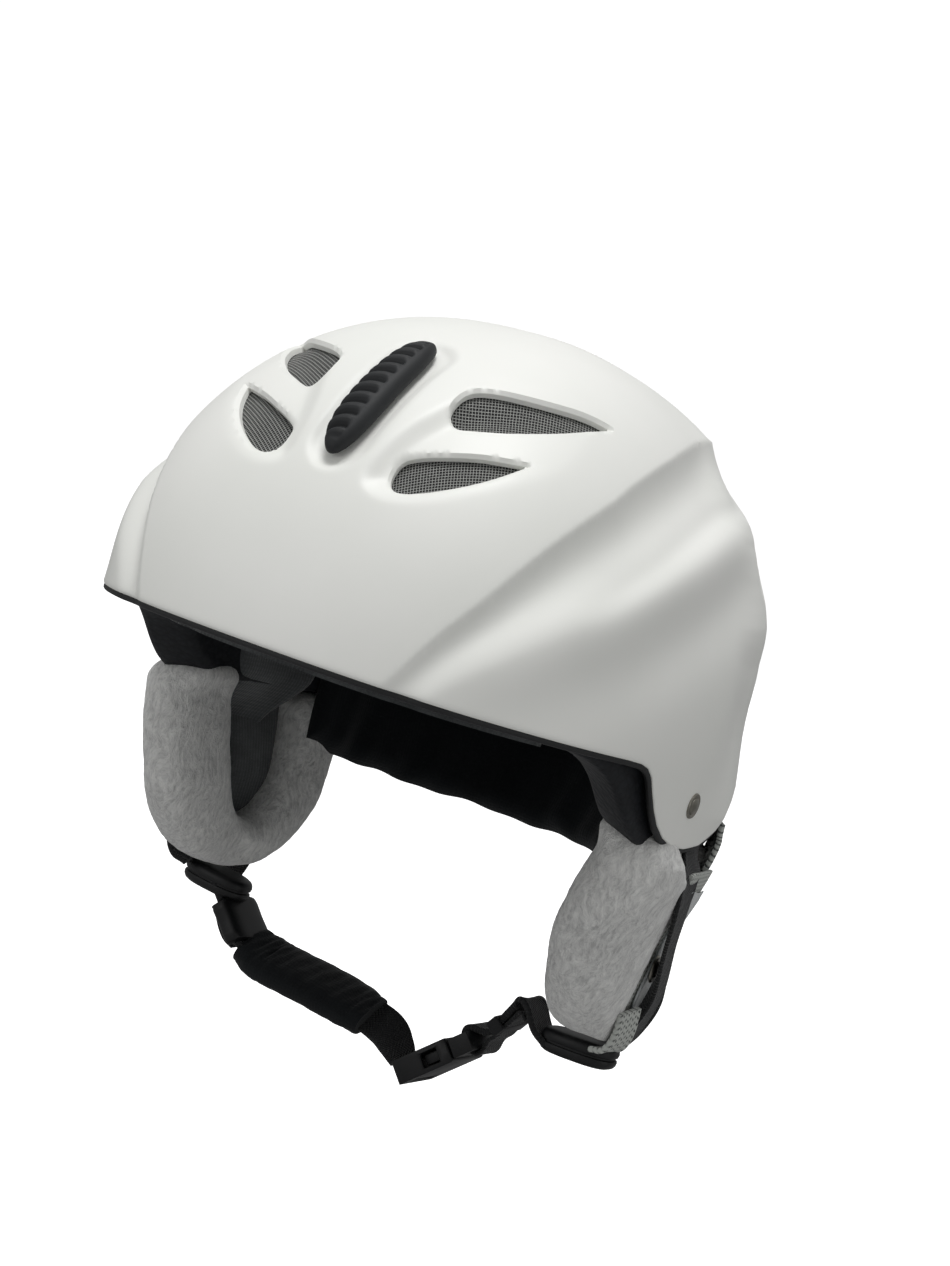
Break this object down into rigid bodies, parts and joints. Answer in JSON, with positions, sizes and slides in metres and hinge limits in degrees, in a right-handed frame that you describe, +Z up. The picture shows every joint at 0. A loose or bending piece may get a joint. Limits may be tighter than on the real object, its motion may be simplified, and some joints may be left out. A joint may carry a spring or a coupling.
{
  "type": "ski helmet",
  "caption": "Hard-shell snow helmet with front vents and a sliding vent control, folding padded ear flaps, webbing harness and a side-release chin buckle.",
  "frame": {"origin": "middle of the crown pad's flat lower face, where the top of the head rests; the brow rim is 91 mm below it", "axes": "+Z up, front of the helmet towards -Y, the wearer's left side at +X"},
  "size_m": [0.2252, 0.2823, 0.2732],
  "materials": {
    "shell_white": "satin white moulded plastic with a soft clear coat",
    "foam_black": "fine-beaded expanded foam, matt",
    "trim_black": "matt soft edge trim",
    "screen_grey": "woven fine wire screen, dull",
    "rivet_steel": "worn nickel-plated steel",
    "rubber_black": "matt ribbed soft-touch rubber",
    "carrier_black": "matt moulded plastic",
    "lining_grey": "brushed fleece with a stitched edge",
    "lining_black": "smooth knitted lining fabric",
    "plush_grey": "short-pile plush",
    "mesh_grey": "warp-knitted spacer mesh",
    "stiffener_clear": "clear flexible plastic sheet",
    "webbing_black": "woven polyester webbing",
    "buckle_black": "moulded acetal, low gloss"
  },
  "bodies": {
    "helmet": {"outer_shell": "shell_white", "eps_liner": "foam_black", "edge_trim": "trim_black", "lower_vent_screen_left": "screen_grey", "lower_vent_screen_right": "screen_grey", "upper_vent_screen_left": "screen_grey", "upper_vent_screen_right": "screen_grey", "rear_vent_screen_left": "screen_grey", "rear_vent_screen_right": "screen_grey", "strap_rivet_left": "rivet_steel", "strap_rivet_right": "rivet_steel", "brow_pad": "lining_grey", "temple_pad_left": "lining_black", "temple_pad_right": "lining_black", "nape_pad": "lining_black", "crown_pad": "lining_black", "retainer_base": "buckle_black"},
    "vent_slide": {"vent_slider": "rubber_black", "slider_carrier": "carrier_black", "vent_shutter": "carrier_black"},
    "left_flap": {"ear_cushion_left": "plush_grey", "ear_lining_left": "plush_grey", "ear_mesh_back_left": "mesh_grey", "ear_stiffener_left": "stiffener_clear", "ear_snap_left": "rivet_steel", "ear_strap_loop_left": "mesh_grey", "strap_divider_left": "buckle_black", "front_strap_left": "webbing_black", "rear_strap_left": "webbing_black"},
    "right_flap": {"ear_cushion_right": "plush_grey", "ear_lining_right": "plush_grey", "ear_mesh_back_right": "mesh_grey", "ear_stiffener_right": "stiffener_clear", "ear_snap_right": "rivet_steel", "ear_strap_loop_right": "mesh_grey", "strap_divider_right": "buckle_black", "front_strap_right": "webbing_black", "rear_strap_right": "webbing_black", "strap_adjuster_right": "buckle_black"},
    "chin_left": {"chin_webbing_left": "webbing_black", "strap_keeper": "webbing_black", "buckle_male": "buckle_black"},
    "chin_right": {"buckle_female": "buckle_black", "chin_webbing_right": "webbing_black", "chin_sleeve": "lining_black"},
    "latch_rear": {"buckle_latch_rear": "buckle_black"},
    "latch_front": {"buckle_latch_front": "buckle_black"},
    "retainer": {"retainer_strap": "rubber_black", "retainer_snap": "rivet_steel"}
  },
  "joints": [
    {"name": "vent_slide", "type": "hinge", "parent": "helmet", "child": "vent_slide", "pos_m": [0, -0.0195, -0.08113], "axis": [-1, 0, 0], "range_deg": [0, 6.5]},
    {"name": "left_flap_fold", "type": "hinge", "parent": "helmet", "child": "left_flap", "pos_m": [0.1094, 0, -0.122], "axis": [0, -1, 0], "range_deg": [0, 25]},
    {"name": "right_flap_fold", "type": "hinge", "parent": "helmet", "child": "right_flap", "pos_m": [-0.1094, 0, -0.122], "axis": [0, 1, 0], "range_deg": [0, 25]},
    {"name": "chin_swing", "type": "hinge", "parent": "left_flap", "child": "chin_left", "pos_m": [0.07, 0.022, -0.2], "axis": [-1, 0, 0], "range_deg": [-15, 25]},
    {"name": "buckle_release", "type": "slide", "parent": "chin_left", "child": "chin_right", "axis": [-0.7331, 0, -0.6801], "range_m": [0, 0.024]},
    {"name": "latch_rear_flex", "type": "hinge", "parent": "chin_left", "child": "latch_rear", "pos_m": [0.03695, 0.0365, -0.21666], "axis": [-0.6801, 0, 0.7331], "range_deg": [0, 7]},
    {"name": "latch_front_flex", "type": "hinge", "parent": "chin_left", "child": "latch_front", "pos_m": [0.03695, 0.0215, -0.21666], "axis": [0.6801, 0, -0.7331], "range_deg": [0, 7]},
    {"name": "retainer_open", "type": "hinge", "parent": "helmet", "child": "retainer", "pos_m": [0, 0.1436, -0.0485], "axis": [1, 0, 0], "range_deg": [0, 70]}
  ]
}
